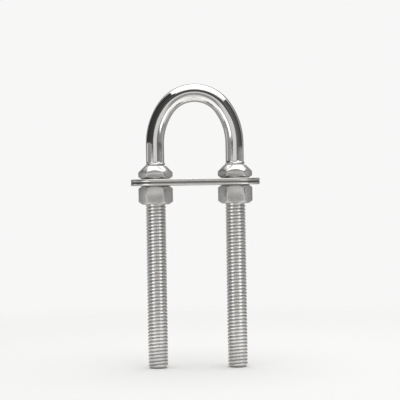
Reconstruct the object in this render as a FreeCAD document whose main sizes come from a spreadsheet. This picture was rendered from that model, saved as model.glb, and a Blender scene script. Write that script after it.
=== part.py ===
import FreeCAD, Part
import Sketcher
import os

# A bow eye in stainless steel: a U-bolt whose bend is the eye and whose two long threaded legs
# go through a boat's stem. A pair of thin cone nuts and an outer plate bear on the outside of
# the hull, and a backing plate and a pair of full nuts draw it up from the inside.
# The frame is the plane where the two plates meet, where the hull skin is clamped: +Z goes up
# the legs to the eye, X goes across the legs, and the eye's hole looks along Y.
# Millimetres and degrees.

document = FreeCAD.newDocument("BowEye")

# The driving dimensions, each with what it measures.
SIZES = [
    ("leg_spacing", 37.8, "centre to centre of the two legs"),
    ("rod_diameter", 8.6, "plain rod of the shanks and the eye"),
    ("shoulder_tuck", 2.4, "how much tighter the crown bends than half the leg spacing"),
    ("shoulder_angle", 35, "degrees up from level at which each flank arc meets the crown arc"),
    ("shank_length", 9.2, "from the end of the full thread to where the flank starts to bend"),
    ("thread_diameter", 9.4, "over the crests of the rolled thread"),
    ("thread_runout", 0.8, "length of the cone from the crests down to the plain rod"),
    ("thread_show", 1.2, "full thread left above the outer nuts"),
    ("thread_tail", 77.6, "thread left below the inner nuts"),
    ("tip_chamfer", 1.0, "chamfer on the end of each leg"),
    ("plate_thickness", 1.5, "each plate"),
    ("plate_width", 23.4, "across the plate, and so twice the radius of its round ends"),
    ("plate_edge", 0.3, "bevel that breaks the plate's blanked edges"),
    ("hole_clearance", 0.3, "radial room between the thread and a plate's hole"),
    ("nut_across_flats", 14.29, "hexagon of all four nuts"),
    ("nut_corner", 0.15, "break on the hexagon's corners"),
    ("nut_clearance", 0.05, "radial room between the crests and a nut's bore"),
    ("nut_countersink", 0.45, "depth and width of the countersink at a bore's mouth"),
    ("nut_bevel_angle", 36, "degrees from level of the bevel that turns a nut's corners down"),
    ("nut_face_inset", 0.8, "from a flat in to the round bearing face"),
    ("inner_nut_height", 8.9, "full nut inside the hull"),
    ("outer_nut_height", 6.35, "thin nut outside the hull"),
    ("nose_angle", 45, "degrees from level of the cone on top of an outer nut"),
    ("nose_land", 0.2, "flat ring between that cone and the countersink of the bore"),
    ("nose_countersink", 0.15, "depth and width of the countersink at the nose"),
]

sheet = document.addObject("Spreadsheet::Sheet", "Sizes")
for row, (alias, value, meaning) in enumerate(SIZES, start=1):
    sheet.set(f"A{row}", alias)
    sheet.set(f"B{row}", str(value))
    sheet.set(f"C{row}", meaning)
    sheet.setAlias(f"B{row}", alias)
document.recompute()

# Sums and shares of those sizes that more than one piece needs.
HALF_SPACING = "Sizes.leg_spacing / 2"
THREAD_RADIUS = "Sizes.thread_diameter / 2"
ROD_RADIUS = "Sizes.rod_diameter / 2"
BORE_RADIUS = f"({THREAD_RADIUS} + Sizes.nut_clearance)"
FACE_RADIUS = "(Sizes.nut_across_flats / 2 - Sizes.nut_face_inset)"
INNER_NUT_FOOT = "(Sizes.plate_thickness + Sizes.inner_nut_height)"
LEG_TIP = f"({INNER_NUT_FOOT} + Sizes.thread_tail)"
OUTER_NUT_TOP = "(Sizes.plate_thickness + Sizes.outer_nut_height)"
THREAD_LENGTH = f"({LEG_TIP} + {OUTER_NUT_TOP} + Sizes.thread_show)"
CROWN_RADIUS = f"({HALF_SPACING} - Sizes.shoulder_tuck)"
SHOULDER_COSINE = "cos(Sizes.shoulder_angle)"
FLANK_RADIUS = f"(({HALF_SPACING} - {CROWN_RADIUS} * {SHOULDER_COSINE}) / (1 - {SHOULDER_COSINE}))"

# How a sketch numbers its own origin and axes, and the points of a line or an arc.
ORIGIN_POINT = (-1, 1)
LEVEL_AXIS = -1
UPRIGHT_AXIS = -2
START_INDEX, END_INDEX, CENTRE_INDEX = 1, 2, 3

UP = FreeCAD.Vector(0, 0, 1)
FULL_TURN = 360
HEXAGON_SIDES = 6
TOLERANCE = 0.001


def number(expression):
    """What an expression on the sheet comes to now."""
    return float(sheet.evalExpression(expression))


def body_named(name):
    """An empty body whose label names its file."""
    body = document.addObject("PartDesign::Body", name)
    body.Label = name
    return body


def origin_plane(body, role):
    """One of the body's own three planes."""
    return next(plane for plane in body.Origin.OriginFeatures if plane.Role == role)


def sketch_on(body, role, name):
    """A sketch attached to one of the body's own planes."""
    sketch = body.newObject("Sketcher::SketchObject", name)
    sketch.AttachmentSupport = [(origin_plane(body, role), "")]
    sketch.MapMode = "FlatFace"
    return sketch


def dimension(sketch, kind, expression, *places):
    """A driving constraint whose value is that expression on the sheet."""
    index = sketch.addConstraint(Sketcher.Constraint(kind, *places, number(expression)))
    sketch.setExpression(f"Constraints[{index}]", expression)


def hold_point(sketch, line, corner):
    """Holds a line's start at a corner, given as two expressions, or None on an axis."""
    across, up = corner
    for kind, axis, expression in (("DistanceX", UPRIGHT_AXIS, across), ("DistanceY", LEVEL_AXIS, up)):
        if expression is None:
            sketch.addConstraint(Sketcher.Constraint("PointOnObject", line, START_INDEX, axis))
        else:
            dimension(sketch, kind, expression, *ORIGIN_POINT, line, START_INDEX)


def straight_outline(sketch, corners):
    """A closed outline of straight lines through the corners."""
    points = []
    for across, up in corners:
        points.append(FreeCAD.Vector(number(across or "0"), number(up or "0"), 0))
    first = sketch.GeometryCount
    for start, end in zip(points, points[1:] + points[:1]):
        sketch.addGeometry(Part.LineSegment(start, end))
    count = len(points)
    for step in range(count):
        line, following = first + step, first + (step + 1) % count
        sketch.addConstraint(Sketcher.Constraint("Coincident", line, END_INDEX, following, START_INDEX))
    for step, corner in enumerate(corners):
        hold_point(sketch, first + step, corner)


def turned(body, kind, name, sketch, axis="V_Axis"):
    """A full turn of a sketch: a Revolution adds it and a Groove cuts it."""
    feature = body.newObject(f"PartDesign::{kind}", name)
    feature.Profile = sketch
    feature.ReferenceAxis = (sketch, [axis])
    feature.Angle = FULL_TURN
    return feature


def eye_path(body):
    """The rod's centre line: two shanks, two flank arcs and the tighter crown arc between them."""
    path = sketch_on(body, "XZ_Plane", "EyePath")
    half, crown, flank = number(HALF_SPACING), number(CROWN_RADIUS), number(FLANK_RADIUS)
    foot = number(f"{THREAD_LENGTH} + Sizes.thread_runout")
    spring = number(f"{THREAD_LENGTH} + Sizes.shank_length")
    shoulder = FreeCAD.Vector(number(SHOULDER_COSINE), number("sin(Sizes.shoulder_angle)"), 0)
    turn = number("Sizes.shoulder_angle * pi / 180")
    half_turn = number("pi")
    flank_centre = FreeCAD.Vector(half - flank, spring, 0)
    crown_centre = flank_centre + shoulder * (flank - crown)
    mirrored_centre = FreeCAD.Vector(flank - half, spring, 0)

    def upright(side, low, high):
        across = side * half
        return Part.LineSegment(FreeCAD.Vector(across, low, 0), FreeCAD.Vector(across, high, 0))

    def arc(centre, radius, start, end):
        return Part.ArcOfCircle(Part.Circle(centre, UP, radius), start, end)

    right_shank, right_flank, crown_arc, left_flank, left_shank = range(5)
    path.addGeometry(upright(1, foot, spring))
    path.addGeometry(arc(flank_centre, flank, 0, turn))
    path.addGeometry(arc(crown_centre, crown, turn, half_turn - turn))
    path.addGeometry(arc(mirrored_centre, flank, half_turn - turn, half_turn))
    path.addGeometry(upright(-1, spring, foot))
    for line in range(right_shank, left_shank):
        path.addConstraint(Sketcher.Constraint("Tangent", line, END_INDEX, line + 1, START_INDEX))
    path.addConstraint(Sketcher.Constraint("Vertical", right_shank))
    path.addConstraint(Sketcher.Constraint("Vertical", left_shank))
    path.addConstraint(Sketcher.Constraint("Equal", right_flank, left_flank))
    path.addConstraint(Sketcher.Constraint("PointOnObject", crown_arc, CENTRE_INDEX, UPRIGHT_AXIS))
    path.addConstraint(
        Sketcher.Constraint("Symmetric", right_shank, START_INDEX, left_shank, END_INDEX, UPRIGHT_AXIS)
    )
    plain_start = f"{THREAD_LENGTH} + Sizes.thread_runout"
    plain_length = "Sizes.shank_length - Sizes.thread_runout"
    dimension(path, "Radius", CROWN_RADIUS, crown_arc)
    dimension(path, "Radius", FLANK_RADIUS, right_flank)
    dimension(path, "DistanceX", HALF_SPACING, *ORIGIN_POINT, right_shank, START_INDEX)
    dimension(path, "DistanceY", plain_start, *ORIGIN_POINT, right_shank, START_INDEX)
    dimension(path, "DistanceY", plain_length, right_shank, START_INDEX, right_shank, END_INDEX)
    return path


def u_bolt():
    """One rod: bent round into the eye, its two legs rolled with thread and chamfered at the tips."""
    body = body_named("u_bolt")
    path = eye_path(body)

    section = sketch_on(body, "XY_Plane", "RodSection")
    section.setExpression("AttachmentOffset.Base.z", f"{THREAD_LENGTH} + Sizes.thread_runout")
    centre = FreeCAD.Vector(number(HALF_SPACING), 0, 0)
    section.addGeometry(Part.Circle(centre, UP, number(ROD_RADIUS)))
    section.addConstraint(Sketcher.Constraint("PointOnObject", 0, CENTRE_INDEX, LEVEL_AXIS))
    dimension(section, "DistanceX", HALF_SPACING, *ORIGIN_POINT, 0, CENTRE_INDEX)
    dimension(section, "Radius", ROD_RADIUS, 0)

    eye = body.newObject("PartDesign::AdditivePipe", "Eye")
    eye.Profile = section
    eye.Spine = (path, [])

    leg_outline = sketch_on(body, "XZ_Plane", "LegOutline")
    crest = f"{HALF_SPACING} + {THREAD_RADIUS}"
    straight_outline(
        leg_outline,
        [
            (HALF_SPACING, None),
            (f"{crest} - Sizes.tip_chamfer", None),
            (crest, "Sizes.tip_chamfer"),
            (crest, THREAD_LENGTH),
            (f"{HALF_SPACING} + {ROD_RADIUS}", f"{THREAD_LENGTH} + Sizes.thread_runout"),
            (HALF_SPACING, f"{THREAD_LENGTH} + Sizes.thread_runout"),
        ],
    )
    foot = FreeCAD.Vector(number(HALF_SPACING), 0, 0)
    top = FreeCAD.Vector(number(HALF_SPACING), number(THREAD_LENGTH), 0)
    axis = leg_outline.addGeometry(Part.LineSegment(foot, top), True)
    leg_outline.addConstraint(Sketcher.Constraint("Coincident", axis, START_INDEX, 0, START_INDEX))
    leg_outline.addConstraint(Sketcher.Constraint("Vertical", axis))
    dimension(leg_outline, "DistanceY", THREAD_LENGTH, axis, START_INDEX, axis, END_INDEX)
    leg = turned(body, "Revolution", "Leg", leg_outline, "Axis0")

    other_leg = body.newObject("PartDesign::Mirrored", "OtherLeg")
    other_leg.Originals = [leg]
    other_leg.MirrorPlane = (origin_plane(body, "YZ_Plane"), [""])
    body.Tip = other_leg
    body.setExpression("Placement.Base.z", f"-{LEG_TIP}")
    return body


def plate(name, underside):
    """A blanked plate with round ends about its two holes, and its cut edges broken."""
    body = body_named(name)
    outline = sketch_on(body, "XY_Plane", f"{name}_outline")
    half, reach = number(HALF_SPACING), number("Sizes.plate_width / 2")
    hole = number(f"{THREAD_RADIUS} + Sizes.hole_clearance")
    right, left = FreeCAD.Vector(half, 0, 0), FreeCAD.Vector(-half, 0, 0)
    out = FreeCAD.Vector(0, reach, 0)
    quarter = number("pi / 2")

    far_side, right_end, near_side, left_end, right_hole, left_hole = range(6)
    outline.addGeometry(Part.LineSegment(right + out, left + out))
    outline.addGeometry(Part.ArcOfCircle(Part.Circle(right, UP, reach), -quarter, quarter))
    outline.addGeometry(Part.LineSegment(left - out, right - out))
    outline.addGeometry(Part.ArcOfCircle(Part.Circle(left, UP, reach), quarter, 3 * quarter))
    outline.addGeometry(Part.Circle(right, UP, hole))
    outline.addGeometry(Part.Circle(left, UP, hole))
    rim = [near_side, right_end, far_side, left_end]
    for side, following in zip(rim, rim[1:] + rim[:1]):
        outline.addConstraint(Sketcher.Constraint("Tangent", side, END_INDEX, following, START_INDEX))
    outline.addConstraint(Sketcher.Constraint("PointOnObject", right_end, CENTRE_INDEX, LEVEL_AXIS))
    outline.addConstraint(
        Sketcher.Constraint("Symmetric", right_end, CENTRE_INDEX, left_end, CENTRE_INDEX, *ORIGIN_POINT)
    )
    outline.addConstraint(Sketcher.Constraint("Equal", right_end, left_end))
    for hole_circle, end in ((right_hole, right_end), (left_hole, left_end)):
        outline.addConstraint(
            Sketcher.Constraint("Coincident", hole_circle, CENTRE_INDEX, end, CENTRE_INDEX)
        )
    outline.addConstraint(Sketcher.Constraint("Equal", right_hole, left_hole))
    dimension(outline, "DistanceX", HALF_SPACING, *ORIGIN_POINT, right_end, CENTRE_INDEX)
    dimension(outline, "Radius", "Sizes.plate_width / 2", right_end)
    dimension(outline, "Radius", f"{THREAD_RADIUS} + Sizes.hole_clearance", right_hole)

    blank = body.newObject("PartDesign::Pad", f"{name}_blank")
    blank.Profile = outline
    blank.setExpression("Length", "Sizes.plate_thickness")
    document.recompute()
    rim_edges = [
        f"Edge{place}"
        for place, edge in enumerate(blank.Shape.Edges, start=1)
        if edge.BoundBox.ZLength < TOLERANCE and not edge.isClosed()
    ]
    bevel = body.newObject("PartDesign::Chamfer", f"{name}_edges")
    bevel.Base = (blank, rim_edges)
    bevel.setExpression("Size", "Sizes.plate_edge")
    body.setExpression("Placement.Base.z", underside)
    return body


def hexagon_bar(body, name, height):
    """A length of hexagon bar about Z, with a corner on each side along X, its corners broken."""
    outline = sketch_on(body, "XY_Plane", f"{name}_hexagon")
    corner_radius = "Sizes.nut_across_flats / sqrt(3)"
    reach = number(corner_radius)
    corners = []
    for side in range(HEXAGON_SIDES):
        turn = FreeCAD.Rotation(UP, side * FULL_TURN / HEXAGON_SIDES)
        corners.append(turn.multVec(FreeCAD.Vector(reach, 0, 0)))
    for start, end in zip(corners, corners[1:] + corners[:1]):
        outline.addGeometry(Part.LineSegment(start, end))
    circle = outline.addGeometry(Part.Circle(FreeCAD.Vector(0, 0, 0), UP, reach), True)
    for side in range(HEXAGON_SIDES):
        following = (side + 1) % HEXAGON_SIDES
        outline.addConstraint(Sketcher.Constraint("Coincident", side, END_INDEX, following, START_INDEX))
        outline.addConstraint(Sketcher.Constraint("PointOnObject", side, START_INDEX, circle))
    for side in range(1, HEXAGON_SIDES):
        outline.addConstraint(Sketcher.Constraint("Equal", 0, side))
    outline.addConstraint(Sketcher.Constraint("Coincident", circle, CENTRE_INDEX, *ORIGIN_POINT))
    outline.addConstraint(Sketcher.Constraint("PointOnObject", 0, START_INDEX, LEVEL_AXIS))
    dimension(outline, "Radius", corner_radius, circle)

    bar = body.newObject("PartDesign::Pad", f"{name}_bar")
    bar.Profile = outline
    bar.setExpression("Length", height)
    document.recompute()
    upright = [
        f"Edge{place}"
        for place, edge in enumerate(bar.Shape.Edges, start=1)
        if edge.BoundBox.ZLength > edge.Length - TOLERANCE
    ]
    corners = body.newObject("PartDesign::Chamfer", f"{name}_corners")
    corners.Base = (bar, upright)
    corners.setExpression("Size", "Sizes.nut_corner")


def nut(name, side, foot, height, top):
    """A nut on one leg, its foot at a height: hexagon bar, beveled and countersunk at both ends.
    top is the radius where its upper bevel starts, that bevel's angle, and the countersink there."""
    body = body_named(name)
    hexagon_bar(body, name, height)
    top_radius, top_angle, top_countersink = top
    past_corner = "(Sizes.nut_across_flats / sqrt(3) + Sizes.nut_corner)"
    foot_drop = f"({past_corner} - {FACE_RADIUS}) * tan(Sizes.nut_bevel_angle)"
    top_drop = f"({past_corner} - {top_radius}) * tan({top_angle})"
    top_bevel_foot = f"{height} - {top_drop}"
    cuts = {
        "foot_bevel": [(FACE_RADIUS, None), (past_corner, None), (past_corner, foot_drop)],
        "top_bevel": [(top_radius, height), (past_corner, top_bevel_foot), (past_corner, height)],
        "bore": [
            (None, None),
            (f"{BORE_RADIUS} + Sizes.nut_countersink", None),
            (BORE_RADIUS, "Sizes.nut_countersink"),
            (BORE_RADIUS, f"{height} - {top_countersink}"),
            (f"{BORE_RADIUS} + {top_countersink}", height),
            (None, height),
        ],
    }
    for cut, corners in cuts.items():
        outline = sketch_on(body, "XZ_Plane", f"{name}_{cut}_outline")
        straight_outline(outline, corners)
        turned(body, "Groove", f"{name}_{cut}", outline)
    body.setExpression("Placement.Base.x", f"{side} * {HALF_SPACING}")
    body.setExpression("Placement.Base.z", foot)
    return body


def outer_nut(name, side):
    """A thin nut that stands on the outer plate and is coned down to its bore on top."""
    nose_radius = f"({BORE_RADIUS} + Sizes.nose_countersink + Sizes.nose_land)"
    top = (nose_radius, "Sizes.nose_angle", "Sizes.nose_countersink")
    return nut(name, side, "Sizes.plate_thickness", "Sizes.outer_nut_height", top)


def inner_nut(name, side):
    """A full nut drawn up under the backing plate."""
    top = (FACE_RADIUS, "Sizes.nut_bevel_angle", "Sizes.nut_countersink")
    return nut(name, side, f"-{INNER_NUT_FOOT}", "Sizes.inner_nut_height", top)


pieces = [u_bolt(), plate("outer_plate", "0"), plate("backing_plate", "-Sizes.plate_thickness")]
for make_nut, place in ((outer_nut, "outer_nut"), (inner_nut, "inner_nut")):
    pieces.append(make_nut(f"{place}_left", -1))
    pieces.append(make_nut(f"{place}_right", 1))
document.recompute()

for item in document.Objects:
    if {"Invalid", "Error"} & set(item.State):
        raise RuntimeError(f"{item.Label} did not build: {item.State}")
    if item.TypeId == "PartDesign::Groove" and item.Shape.Volume >= item.BaseFeature.Shape.Volume:
        raise RuntimeError(f"{item.Label} cut nothing")
for piece in pieces:
    if piece.Shape.isNull() or not piece.Shape.isValid():
        raise RuntimeError(f"{piece.Label} has no valid shape")

os.makedirs("parts", exist_ok=True)
for piece in pieces:
    piece.Shape.exportStep(f"parts/{piece.Label}.step")
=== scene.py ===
import math

import bmesh
import bpy
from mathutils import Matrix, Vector


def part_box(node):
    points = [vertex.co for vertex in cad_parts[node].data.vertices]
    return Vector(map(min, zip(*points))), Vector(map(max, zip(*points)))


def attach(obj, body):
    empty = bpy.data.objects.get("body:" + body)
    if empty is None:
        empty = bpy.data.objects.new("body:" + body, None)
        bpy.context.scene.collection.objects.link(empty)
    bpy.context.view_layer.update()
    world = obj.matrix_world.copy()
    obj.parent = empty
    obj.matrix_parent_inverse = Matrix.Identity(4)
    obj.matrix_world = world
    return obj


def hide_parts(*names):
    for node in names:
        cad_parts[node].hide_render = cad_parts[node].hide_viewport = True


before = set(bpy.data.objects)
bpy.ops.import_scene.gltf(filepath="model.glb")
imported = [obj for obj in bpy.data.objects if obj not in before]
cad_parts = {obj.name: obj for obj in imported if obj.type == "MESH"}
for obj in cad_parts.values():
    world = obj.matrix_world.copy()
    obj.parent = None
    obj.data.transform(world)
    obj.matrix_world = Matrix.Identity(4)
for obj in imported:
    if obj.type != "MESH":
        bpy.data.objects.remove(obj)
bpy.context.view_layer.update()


# The bent rod
# One length of 304 stainless rod, bent cold into the eye and buffed to a mirror. Both legs are
# rolled with a right-hand 3/8-16 thread, left satin, and chamfered at the tips.
MM = 0.001
bolt_low, bolt_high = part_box("u_bolt")
nut_low, nut_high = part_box("inner_nut_right")
half_spacing = (nut_low.x + nut_high.x) / 2
crest_radius = bolt_high.x - half_spacing
leg_tip = bolt_low.z
rod_radius = 4.3 * MM
thread_end = 9.05 * MM
runout_end = 9.85 * MM
spring_line = 18.25 * MM
tip_chamfer = 1.0 * MM
shoulder_angle = math.radians(35)
shoulder_tuck = 2.4 * MM
crown_radius = half_spacing - shoulder_tuck
flank_radius = crown_radius + shoulder_tuck / (1 - math.cos(shoulder_angle))
crown_height = spring_line + (flank_radius - crown_radius) * math.sin(shoulder_angle)
rod_sides = 96
flank_steps = 30
crown_steps = 84

pitch = 25.4 * MM / 16
flank_lean = math.tan(math.radians(30))
crest_half = 0.27 * MM
crest_edge = 0.05 * MM
crest_rounding = 0.13 * MM
flank_rise = 0.52 * MM
root_half = pitch / 2 - crest_half - crest_rounding - flank_rise * flank_lean
thread_depth = flank_rise + crest_rounding * flank_lean
thread_steps = 48
turns_below_tip = 1.5
thread_start = leg_tip - turns_below_tip * pitch
fade_start = thread_end - 0.3 * MM
seam_gap = 0.15 * MM
weld_distance = 0.001 * MM
cut_slack = 0.0001 * MM


def select_only(piece):
    """Select one piece alone and make it the active one."""
    bpy.ops.object.select_all(action="DESELECT")
    piece.select_set(True)
    bpy.context.view_layer.objects.active = piece


def start_edit(piece):
    """Go into edit mode on one piece alone."""
    select_only(piece)
    bpy.ops.object.mode_set(mode="EDIT")


def pick(piece, kind, test):
    """In edit mode, select the verts or edges that pass a test and nothing else."""
    bpy.ops.mesh.select_all(action="DESELECT")
    bpy.ops.mesh.select_mode(type={"verts": "VERT", "edges": "EDGE"}[kind])
    mesh = bmesh.from_edit_mesh(piece.data)
    for item in getattr(mesh, kind):
        item.select_set(test(item))
    mesh.select_flush_mode()
    bmesh.update_edit_mesh(piece.data)


def shift(x, y, z):
    """How far an extrude operator moves what it extrudes."""
    return {"value": (x, y, z)}


def set_down():
    """Give the new primitive an origin at the frame's origin, unturned and unscaled."""
    bpy.ops.object.transform_apply(location=True, rotation=True, scale=True)


def face_outward():
    """In edit mode, turn every face outward."""
    bpy.ops.mesh.select_all(action="SELECT")
    bpy.ops.mesh.normals_make_consistent(inside=False)


def finish_mesh(piece, crease_degrees):
    """Weld the seams, turn the faces outward, and shade smooth up to a crease angle."""
    start_edit(piece)
    bpy.ops.mesh.select_all(action="SELECT")
    bpy.ops.mesh.remove_doubles(threshold=weld_distance)
    face_outward()
    bpy.ops.object.mode_set(mode="OBJECT")
    bpy.ops.object.shade_smooth_by_angle(angle=math.radians(crease_degrees))


def threaded_rod(name, axis_x, low, high, swell, fill_top):
    """A threaded rod about a leg's axis between two heights, cut square and in step with the legs.
    swell is how far its surface stands outside the leg's own thread."""
    bpy.ops.object.select_all(action="DESELECT")
    bpy.ops.mesh.primitive_plane_add(size=pitch)
    rod = bpy.context.object
    rod.name = name
    start_edit(rod)
    bpy.ops.mesh.select_mode(type="VERT")
    bpy.ops.mesh.select_all(action="SELECT")
    bpy.ops.mesh.merge(type="CENTER")
    bpy.ops.transform.translate(value=(crest_radius - thread_depth + swell, 0, 0))
    # Half a tooth from root to crest: how far out and how far along each step goes
    half_tooth = [
        (0, root_half),
        (flank_rise, flank_rise * flank_lean),
        (crest_rounding * flank_lean, crest_rounding),
        (0, crest_edge),
        (0, crest_half - crest_edge),
    ]
    for rise, run in half_tooth:
        bpy.ops.mesh.extrude_vertices_move(TRANSFORM_OT_translate=shift(rise, 0, run))
    for rise, run in reversed(half_tooth):
        bpy.ops.mesh.extrude_vertices_move(TRANSFORM_OT_translate=shift(-rise, 0, run))
    bpy.ops.object.mode_set(mode="OBJECT")
    turns_below = math.floor((low - thread_start) / pitch) - 1
    winding = rod.modifiers.new("thread", "SCREW")
    winding.axis = "Z"
    winding.angle = 2 * math.pi
    winding.screw_offset = pitch
    winding.iterations = math.ceil((high - thread_start) / pitch) + 1 - turns_below
    winding.steps = thread_steps
    winding.render_steps = thread_steps
    bpy.ops.object.modifier_apply(modifier=winding.name)
    rod.location = (axis_x, 0, thread_start + turns_below * pitch)
    set_down()
    start_edit(rod)
    bpy.ops.mesh.select_all(action="SELECT")
    bpy.ops.mesh.remove_doubles(threshold=weld_distance)
    for height, is_foot, filled in ((low, True, True), (high, False, fill_top)):
        bpy.ops.mesh.select_all(action="SELECT")
        bpy.ops.mesh.bisect(
            plane_co=(axis_x, 0, height),
            plane_no=(0, 0, 1),
            use_fill=filled,
            clear_inner=is_foot,
            clear_outer=not is_foot,
            threshold=cut_slack,
        )
    face_outward()
    bpy.ops.object.mode_set(mode="OBJECT")
    return rod


bpy.ops.object.select_all(action="DESELECT")
bpy.ops.mesh.primitive_circle_add(
    vertices=rod_sides, radius=rod_radius, location=(half_spacing, 0, runout_end)
)
bolt = bpy.context.object
bolt.name = "bow_eye_rod"
set_down()
start_edit(bolt)
bpy.ops.mesh.select_all(action="SELECT")
straight = spring_line - runout_end
bpy.ops.mesh.extrude_region_move(TRANSFORM_OT_translate=shift(0, 0, straight))
for arc_x, arc_z, turn, steps in (
    (half_spacing - flank_radius, spring_line, shoulder_angle, flank_steps),
    (0, crown_height, math.pi - 2 * shoulder_angle, crown_steps),
    (flank_radius - half_spacing, spring_line, shoulder_angle, flank_steps),
):
    bpy.ops.mesh.spin(steps=steps, angle=turn, center=(arc_x, 0, arc_z), axis=(0, 1, 0))
bpy.ops.mesh.extrude_region_move(TRANSFORM_OT_translate=shift(0, 0, -straight))
bpy.ops.object.mode_set(mode="OBJECT")

# The thread runs out smoothly into the plain shank, and its tip is chamfered
thread_top = runout_end - seam_gap
leg = threaded_rod("leg", half_spacing, leg_tip, thread_top, swell=0, fill_top=False)
for vertex in leg.data.vertices:
    across = Vector((vertex.co.x - half_spacing, vertex.co.y))
    radius = across.length
    fade = min(max((vertex.co.z - fade_start) / (thread_top - fade_start), 0), 1)
    wanted = radius + (rod_radius - radius) * fade * fade * (3 - 2 * fade)
    wanted = min(wanted, crest_radius - tip_chamfer + vertex.co.z - leg_tip)
    if radius > crest_radius / 2:
        across *= wanted / radius
        vertex.co.x = half_spacing + across.x
        vertex.co.y = across.y
bpy.ops.object.duplicate(linked=False)
other_leg = bpy.context.object
other_leg.location.x = -2 * half_spacing
set_down()
bpy.ops.object.select_all(action="DESELECT")
for piece in (leg, other_leg, bolt):
    piece.select_set(True)
bpy.context.view_layer.objects.active = bolt
bpy.ops.object.join()
start_edit(bolt)
for side in (1, -1):
    pick(bolt, "edges", lambda edge: edge.is_boundary and side * edge.verts[0].co.x > 0)
    bpy.ops.mesh.bridge_edge_loops()
bpy.ops.object.mode_set(mode="OBJECT")
finish_mesh(bolt, crease_degrees=44)


class Signal:
    """A value in a node tree, so that a material's maths reads as plain formulas. One without a
    socket stands for the tree itself and makes its first nodes."""

    def __init__(self, tree, socket=None):
        self.tree = tree
        self.socket = socket

    def into(self, target):
        """Link this value to a node's input."""
        self.tree.links.new(self.socket, target)

    def node(self, kind, settings, sockets, output=0):
        """A new node: its type, its settings, then the values or links of its sockets."""
        made = self.tree.nodes.new(kind)
        for name, value in settings.items():
            setattr(made, name, value)
        for name, value in sockets.items():
            if isinstance(value, Signal):
                value.into(made.inputs[name])
            else:
                made.inputs[name].default_value = value
        return Signal(self.tree, made.outputs[output])

    def maths(self, operation, *others):
        """A Math node on this value, and on a second one if it takes two."""
        values = dict(enumerate((self, *others)))
        return self.node("ShaderNodeMath", {"operation": operation}, values)

    def __add__(self, other):
        return self.maths("ADD", other)

    def __radd__(self, other):
        return self + other

    def __sub__(self, other):
        return self.maths("SUBTRACT", other)

    def __rsub__(self, other):
        return self * -1 + other

    def __mul__(self, other):
        return self.maths("MULTIPLY", other)

    def __rmul__(self, other):
        return self * other

    def ramp(self, low, high):
        """0 at low and 1 at high, smooth between; low may be the larger."""
        return self.node(
            "ShaderNodeMapRange",
            {"interpolation_type": "SMOOTHSTEP"},
            {"Value": self, "From Min": low, "From Max": high},
        )

    def axis(self, place):
        """One coordinate of this position: 0, 1 or 2 for X, Y or Z."""
        return self.node("ShaderNodeSeparateXYZ", {}, {"Vector": self}, place)

    def stretched(self, x, y, z):
        """This position with each axis multiplied, for a grain that runs along the smallest."""
        return self.node("ShaderNodeMapping", {}, {"Vector": self, "Scale": (x, y, z)})

    def noise(self, scale, detail):
        """Fractal noise of the position, 0 to 1; scale is its cells per metre."""
        sockets = {"Vector": self, "Scale": scale, "Detail": detail}
        return self.node("ShaderNodeTexNoise", {}, sockets)

    def blend(self, low, high):
        """A colour from low at 0 to high at 1."""
        return self.node("ShaderNodeMix", {"data_type": "RGBA"}, {0: self, 6: low, 7: high}, 2)

    def bump(self, depth):
        """The surface normal with this height, depth metres from 0 to 1."""
        sockets = {"Height": self, "Distance": depth, "Strength": 1.0}
        return self.node("ShaderNodeBump", {}, sockets)


def new_material(name, metallic):
    """A new material: the material, its shader's sockets and its position signal."""
    material = bpy.data.materials.new(name)
    material.use_nodes = True
    shader = material.node_tree.nodes["Principled BSDF"].inputs
    shader["Metallic"].default_value = metallic
    position = Signal(material.node_tree).node("ShaderNodeTexCoord", {}, {}, "Object")
    return material, shader, position


def smudges(position, scale):
    """Soft patches, as handling leaves on steel: 0 where it is clean and 1 where it is dull."""
    return position.noise(scale, detail=3).ramp(0.35, 0.75)


def from_leg(position):
    """The distance from the axis of the nearer leg."""
    across = position.axis(0).maths("ABSOLUTE") - half_spacing
    along = position.axis(1)
    return (across * across + along * along).maths("SQRT")


steel_bright = (0.66, 0.65, 0.635, 1)
steel_dull = (0.58, 0.57, 0.55, 1)
# The dark colour of the painted shade in the thread grooves and in the plates' joint
painted_shade_steel = (0.16, 0.155, 0.145, 1)
satin_start = thread_end + 0.4 * MM
satin_full = thread_end - 0.2 * MM
groove_shade_start = crest_radius - 0.20 * MM
groove_shade_full = crest_radius - 0.55 * MM
polish_roughness = 0.05
satin_roughness = 0.10
polish_relief = 0.012 * MM

# A mirror polish with smudges and fine hairlines; the threads are satin, with painted shade
# darkening their grooves
material, shader, position = new_material("polished_rod_steel", metallic=1.0)
threaded = position.axis(2).ramp(satin_start, satin_full)
# Painted shade: the thread roots are darkened in the base colour
painted_groove_shade = from_leg(position).ramp(groove_shade_start, groove_shade_full) * threaded
smudge = smudges(position, scale=120)
hairline = position.stretched(1, 1, 0.05).noise(scale=9000, detail=2)
wave = position.noise(scale=260, detail=1)
grain = position.noise(scale=14000, detail=2)
shade = (smudge * 0.15).blend(steel_bright, steel_dull)
(painted_groove_shade * 0.4).blend(shade, painted_shade_steel).into(shader["Base Color"])
satin = threaded * (satin_roughness + grain * 0.06)
(polish_roughness + smudge * 0.05 + satin).into(shader["Roughness"])
relief = wave * 0.35 + hairline * 0.02 + grain * (0.01 + threaded * 0.06)
relief.bump(polish_relief).into(shader["Normal"])
bolt.data.materials.append(material)
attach(bolt, "root")
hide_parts("u_bolt")


# The two plates
# Blanked 304 stainless plates with round ends: the outer one beds on the hull's outside and the
# backing plate behind it. Both slide over the legs, and the nuts grip them as the part is stored.
plate_rim_sides = 160
plate_edge = 0.4 * MM
plate_hole_radius = 5.0 * MM
plate_hole_sides = 64
joint_shade_centre = -0.20 * MM
joint_shade_edge = 0.58 * MM
joint_shade_core = 0.32 * MM
plate_roughness = 0.24
plate_relief = 0.006 * MM


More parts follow.
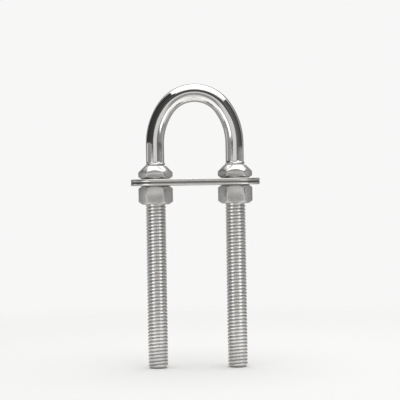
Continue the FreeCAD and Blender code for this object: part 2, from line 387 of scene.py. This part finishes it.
def cut(piece, cutter, operation):
    """Apply a boolean of the piece with a cutter, and delete the cutter."""
    select_only(piece)
    joiner = piece.modifiers.new("cut", "BOOLEAN")
    joiner.operation = operation
    joiner.solver = "EXACT"
    joiner.object = cutter
    bpy.ops.object.modifier_apply(modifier=joiner.name)
    bpy.data.objects.remove(cutter)


def soften(piece, width, segments, degrees):
    """Round the piece's edges that are sharper than an angle."""
    select_only(piece)
    rounding = piece.modifiers.new("edges", "BEVEL")
    rounding.width = width
    rounding.segments = segments
    rounding.limit_method = "ANGLE"
    rounding.angle_limit = math.radians(degrees)
    rounding.use_clamp_overlap = False
    bpy.ops.object.modifier_apply(modifier=rounding.name)


# Rolled faces and sheared rims, and painted shade: a dark line where the two plates' rims meet
material, shader, position = new_material("plate_steel", metallic=1.0)
rolled = position.stretched(1, 14, 14).noise(scale=900, detail=3)
sheared = position.stretched(12, 12, 1).noise(scale=700, detail=3)
smudge = smudges(position, scale=90)
# Painted shade in the joint between the two plates, centred a little below it
painted_joint_shade = (position.axis(2) - joint_shade_centre).maths("ABSOLUTE").ramp(joint_shade_edge, joint_shade_core)
shade = (smudge * 0.6).blend(steel_bright, steel_dull)
(painted_joint_shade * 0.9).blend(shade, painted_shade_steel).into(shader["Base Color"])
(plate_roughness + smudge * 0.05 + rolled * 0.06).into(shader["Roughness"])
(rolled * 0.5 + sheared * 0.5).bump(plate_relief).into(shader["Normal"])

for node in ("outer_plate", "backing_plate"):
    low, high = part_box(node)
    thickness = high.z - low.z
    bpy.ops.object.select_all(action="DESELECT")
    bpy.ops.mesh.primitive_circle_add(
        vertices=plate_rim_sides,
        radius=high.y,
        fill_type="NGON",
        location=(0, 0, low.z),
        rotation=(0, 0, math.pi / plate_rim_sides),
    )
    plate = bpy.context.object
    plate.name = node + "_steel"
    set_down()
    start_edit(plate)
    for side in (1, -1):
        pick(plate, "verts", lambda vertex: side * vertex.co.x > 0)
        bpy.ops.transform.translate(value=(side * half_spacing, 0, 0))
    bpy.ops.mesh.select_mode(type="FACE")
    bpy.ops.mesh.select_all(action="SELECT")
    bpy.ops.mesh.extrude_region_move(TRANSFORM_OT_translate=shift(0, 0, thickness))
    face_outward()
    bpy.ops.object.mode_set(mode="OBJECT")
    soften(plate, plate_edge, segments=4, degrees=40)
    for side in (1, -1):
        bpy.ops.mesh.primitive_cylinder_add(
            vertices=plate_hole_sides,
            radius=plate_hole_radius,
            depth=4 * thickness,
            location=(side * half_spacing, 0, low.z),
        )
        cut(plate, bpy.context.object, "DIFFERENCE")
    finish_mesh(plate, crease_degrees=30)
    plate.data.materials.append(material)
    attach(plate, "root")
    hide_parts(node)


# The four nuts
# Stainless hexagon nuts, 9/16 inch across flats. The thin outer pair is turned to a cone that leads
# up to the thread; the full inner pair is beveled at both faces. All four are tapped 3/8-16.
nut_face_inset = 0.8 * MM
nut_bevel = math.radians(36)
cone_angle = math.radians(45)
nose_radius = 5.1 * MM
corner_break = 0.3 * MM
edge_break = 0.07 * MM
turned_sides = 128
envelope_margin = 0.5 * MM
tap_clearance = 0.04 * MM
tap_overrun = 1.0 * MM
mouth_radius = 5.2 * MM
nose_mouth_radius = 4.9 * MM
mouth_overrun = 0.2 * MM
mouth_bottom_radius = crest_radius - thread_depth - 0.3 * MM
nut_bright = (0.62, 0.61, 0.595, 1)
nut_dull = (0.56, 0.55, 0.53, 1)
nut_roughness = 0.22
nut_relief = 0.006 * MM
turning_pitch = 0.16 * MM

# Drawn bar with faint rings left by the lathe
material, shader, position = new_material("nut_steel", metallic=1.0)
turning = (from_leg(position) * (2 * math.pi / turning_pitch)).maths("SINE")
drawn = position.stretched(10, 10, 1).noise(scale=1100, detail=3)
smudge = smudges(position, scale=150)
smudge.blend(nut_bright, nut_dull).into(shader["Base Color"])
(nut_roughness + smudge * 0.05 + drawn * 0.06).into(shader["Roughness"])
(drawn * 0.6 + turning * 0.12).bump(nut_relief).into(shader["Normal"])


def turned_envelope(axis_x, outline):
    """A solid of revolution on a leg's axis; outline lists radius and height from the foot up."""
    first_radius, first_height = outline[0]
    bpy.ops.object.select_all(action="DESELECT")
    bpy.ops.mesh.primitive_circle_add(
        vertices=turned_sides,
        radius=first_radius,
        fill_type="NGON",
        location=(axis_x, 0, first_height),
    )
    turned = bpy.context.object
    set_down()
    start_edit(turned)
    bpy.ops.mesh.select_mode(type="FACE")
    bpy.ops.mesh.select_all(action="SELECT")
    for (old_radius, old_height), (new_radius, new_height) in zip(outline, outline[1:]):
        rise = new_height - old_height
        bpy.ops.mesh.extrude_region_move(TRANSFORM_OT_translate=shift(0, 0, rise))
        ratio = new_radius / old_radius
        bpy.ops.transform.resize(
            value=(ratio, ratio, 1), center_override=(axis_x, 0, new_height)
        )
    face_outward()
    bpy.ops.object.mode_set(mode="OBJECT")
    return turned


for node in ("outer_nut_left", "outer_nut_right", "inner_nut_left", "inner_nut_right"):
    low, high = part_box(node)
    axis_x = (low.x + high.x) / 2
    flats = high.y - low.y
    corner_radius = flats / math.sqrt(3)
    past_corner = corner_radius + envelope_margin
    face_radius = flats / 2 - nut_face_inset
    top_radius, top_angle, top_mouth = face_radius, nut_bevel, mouth_radius
    if node.startswith("outer"):
        top_radius, top_angle, top_mouth = nose_radius, cone_angle, nose_mouth_radius
    bpy.ops.object.select_all(action="DESELECT")
    bpy.ops.mesh.primitive_cylinder_add(
        vertices=6,
        radius=corner_radius,
        depth=high.z - low.z,
        location=(axis_x, 0, (low.z + high.z) / 2),
        rotation=(0, 0, math.pi / 6),
    )
    nut = bpy.context.object
    nut.name = node + "_steel"
    set_down()
    start_edit(nut)
    pick(nut, "edges", lambda edge: abs(edge.verts[0].co.z - edge.verts[1].co.z) > MM)
    bpy.ops.mesh.bevel(offset=corner_break, segments=3, affect="EDGES")
    bpy.ops.object.mode_set(mode="OBJECT")
    foot_rise = (past_corner - face_radius) * math.tan(nut_bevel)
    top_drop = (past_corner - top_radius) * math.tan(top_angle)
    outline = [
        (face_radius, low.z),
        (past_corner, low.z + foot_rise),
        (past_corner, high.z - top_drop),
        (top_radius, high.z),
    ]
    cut(nut, turned_envelope(axis_x, outline), "INTERSECT")
    soften(nut, edge_break, segments=2, degrees=25)
    tap_low = low.z - tap_overrun
    tap_high = high.z + tap_overrun
    tap = threaded_rod("tap", axis_x, tap_low, tap_high, swell=tap_clearance, fill_top=True)
    cut(nut, tap, "DIFFERENCE")
    for end, mouth, inward in ((low.z, mouth_radius, 1), (high.z, top_mouth, -1)):
        mouth_depth = mouth - mouth_bottom_radius
        outline = [
            (mouth + mouth_overrun, end - inward * mouth_overrun),
            (mouth_bottom_radius, end + inward * mouth_depth),
        ]
        if inward < 0:
            outline.reverse()
        cut(nut, turned_envelope(axis_x, outline), "DIFFERENCE")
    finish_mesh(nut, crease_degrees=24)
    nut.data.materials.append(material)
    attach(nut, "root")
    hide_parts(node)


# The stage
# A white floor at the leg tips, a white surround and one overhead softbox. Dark and bright cards,
# which only the steel's reflections see, shade it as a photographer shades polished metal.
pale = (0.93, 0.93, 0.925, 1)
dim = (0.465, 0.465, 0.4625, 1)
floor_radius = 0.45
floor_sides = 96
floor_fade_start = 0.10
floor_fade_end = 0.40
bpy.ops.object.select_all(action="DESELECT")
bpy.ops.mesh.primitive_circle_add(
    vertices=floor_sides, radius=floor_radius, fill_type="NGON", location=(0, 0, leg_tip)
)
floor = bpy.context.object
floor.name = "floor"
set_down()
material, shader, position = new_material("floor_white", metallic=0.0)
shader["Base Color"].default_value = pale
shader["Roughness"].default_value = 0.9
shader["Specular IOR Level"].default_value = 0.0
nodes = material.node_tree.nodes
white = Signal(material.node_tree, nodes["Principled BSDF"].outputs[0])
clear = position.node("ShaderNodeBsdfTransparent", {}, {})
distance = position.node("ShaderNodeVectorMath", {"operation": "LENGTH"}, {0: position}, "Value")
fade = distance.ramp(floor_fade_start, floor_fade_end)
faded = position.node("ShaderNodeMixShader", {}, {0: fade, 1: white, 2: clear})
faded.into(nodes["Material Output"].inputs["Surface"])
floor.data.materials.append(material)


def card(name, centre, width, tall, facing, strength, near_shade=1.0, far_shade=1.0):
    """A flat card that only polished surfaces see, shaded from one end to the other."""
    bpy.ops.object.select_all(action="DESELECT")
    bpy.ops.mesh.primitive_plane_add(size=1)
    made = bpy.context.object
    made.name = name
    material, shader, position = new_material(name, metallic=0.0)
    near_grey = (near_shade, near_shade, near_shade, 1)
    far_grey = (far_shade, far_shade, far_shade, 1)
    colour = (position.axis(0) + 0.5).blend(near_grey, far_grey)
    glow = position.node("ShaderNodeEmission", {}, {"Color": colour, "Strength": strength})
    glow.into(material.node_tree.nodes["Material Output"].inputs["Surface"])
    made.data.materials.append(material)
    made.scale = (width, tall, 1)
    made.location = centre
    made.rotation_euler = facing
    made.visible_camera = False
    made.visible_diffuse = False
    made.visible_shadow = False
    made.visible_transmission = False
    made.visible_volume_scatter = False


# Upright cards at the sides, in front and behind
quarter = math.pi / 2
across_view = (quarter, 0, 0)
along_view = (quarter, 0, quarter)
card("card_left", (-0.30, -0.30, 0.328), 1.00, 0.584, along_view, strength=0.10, far_shade=0.4)
card("foot_left", (-0.30, -0.375, -0.025), 0.85, 0.12, along_view, strength=0.65, far_shade=0.5)
card("card_right", (0.32, -0.305, 0.1785), 0.85, 0.303, along_view, strength=0.25, far_shade=0.25)
card("foot_right", (0.32, -0.305, -0.0295), 0.85, 0.111, along_view, strength=0.46, near_shade=0.3)
card("card_top", (0, -0.50, 0.2925), 1.00, 0.315, across_view, strength=0.10)
card("card_front", (0, -0.66, -0.05), 0.26, 0.072, across_view, strength=0.20)
card("card_back", (0, 0.36, 0.10), 1.40, 0.60, across_view, strength=0.32)

# Bright strips turned to the legs, which draw the two light lines on each thread
turned_left = (quarter, 0, -quarter / 2)
turned_right = (quarter, 0, quarter / 2)
card("strip_left", (-0.20, -0.20, -0.037), 0.14, 0.10, turned_left, strength=1.9)
card("strip_right", (0.20, -0.20, -0.0485), 0.14, 0.077, turned_right, strength=1.9)

# Cards that lie just above the floor
low_height = leg_tip + 2 * MM
sheet_height = leg_tip + 3 * MM
flat = (0, 0, 0)
flat_left = (0, 0, -quarter / 2)
flat_right = (0, 0, quarter / 2)
card("card_low", (0, -0.40, low_height), 0.80, 0.32, flat, strength=0.36)
card("sheet_left", (-0.115, -0.115, sheet_height), 0.12, 0.22, flat_left, strength=1.4)
card("sheet_right", (0.115, -0.115, sheet_height), 0.12, 0.22, flat_right, strength=1.4)
card("card_under", (0, 0.26, low_height), 1.00, 0.40, flat, strength=0.45)

# The softbox
softbox_target = Vector((0.055, 0, 0))
light = bpy.data.lights.new("softbox_top", "AREA")
light.shape = "ELLIPSE"
light.energy = 3.0
light.size = 0.92
light.size_y = 0.82
softbox = bpy.data.objects.new("softbox_top", light)
softbox.location = (0.055, 0, 0.50)
softbox.rotation_euler = (softbox.location - softbox_target).to_track_quat("Z", "Y").to_euler()
softbox.visible_camera = False
bpy.context.scene.collection.objects.link(softbox)

# The surround, pale to the camera and in reflections
world = bpy.data.worlds.new("surround")
bpy.context.scene.world = world
world.use_nodes = True
background = world.node_tree.nodes["Background"].inputs
to_camera, to_glossy, to_glass = [
    Signal(world.node_tree).node("ShaderNodeLightPath", {}, {}, name)
    for name in ("Is Camera Ray", "Is Glossy Ray", "Is Transmission Ray")
]
seen = to_camera.maths("MAXIMUM", to_glossy).maths("MAXIMUM", to_glass)
seen.blend(dim, pale).into(background["Color"])
background["Strength"].default_value = 1.0

# The camera
camera_distance = 0.60
frame_width = 190.1 * MM
sensor_width = 36.0
centre_x = 2.1 * MM
centre_z = -8.6 * MM
roll = math.radians(0.9)
lens = bpy.data.cameras.new("camera")
lens.sensor_width = sensor_width
lens.lens = sensor_width * camera_distance / frame_width
camera = bpy.data.objects.new("camera", lens)
camera.location = (centre_x, -camera_distance, centre_z)
camera.rotation_euler = (quarter, 0, 0)
camera.rotation_euler.rotate_axis("Z", -roll)
bpy.context.scene.collection.objects.link(camera)
bpy.context.scene.camera = camera
bpy.context.scene.view_settings.view_transform = "Standard"
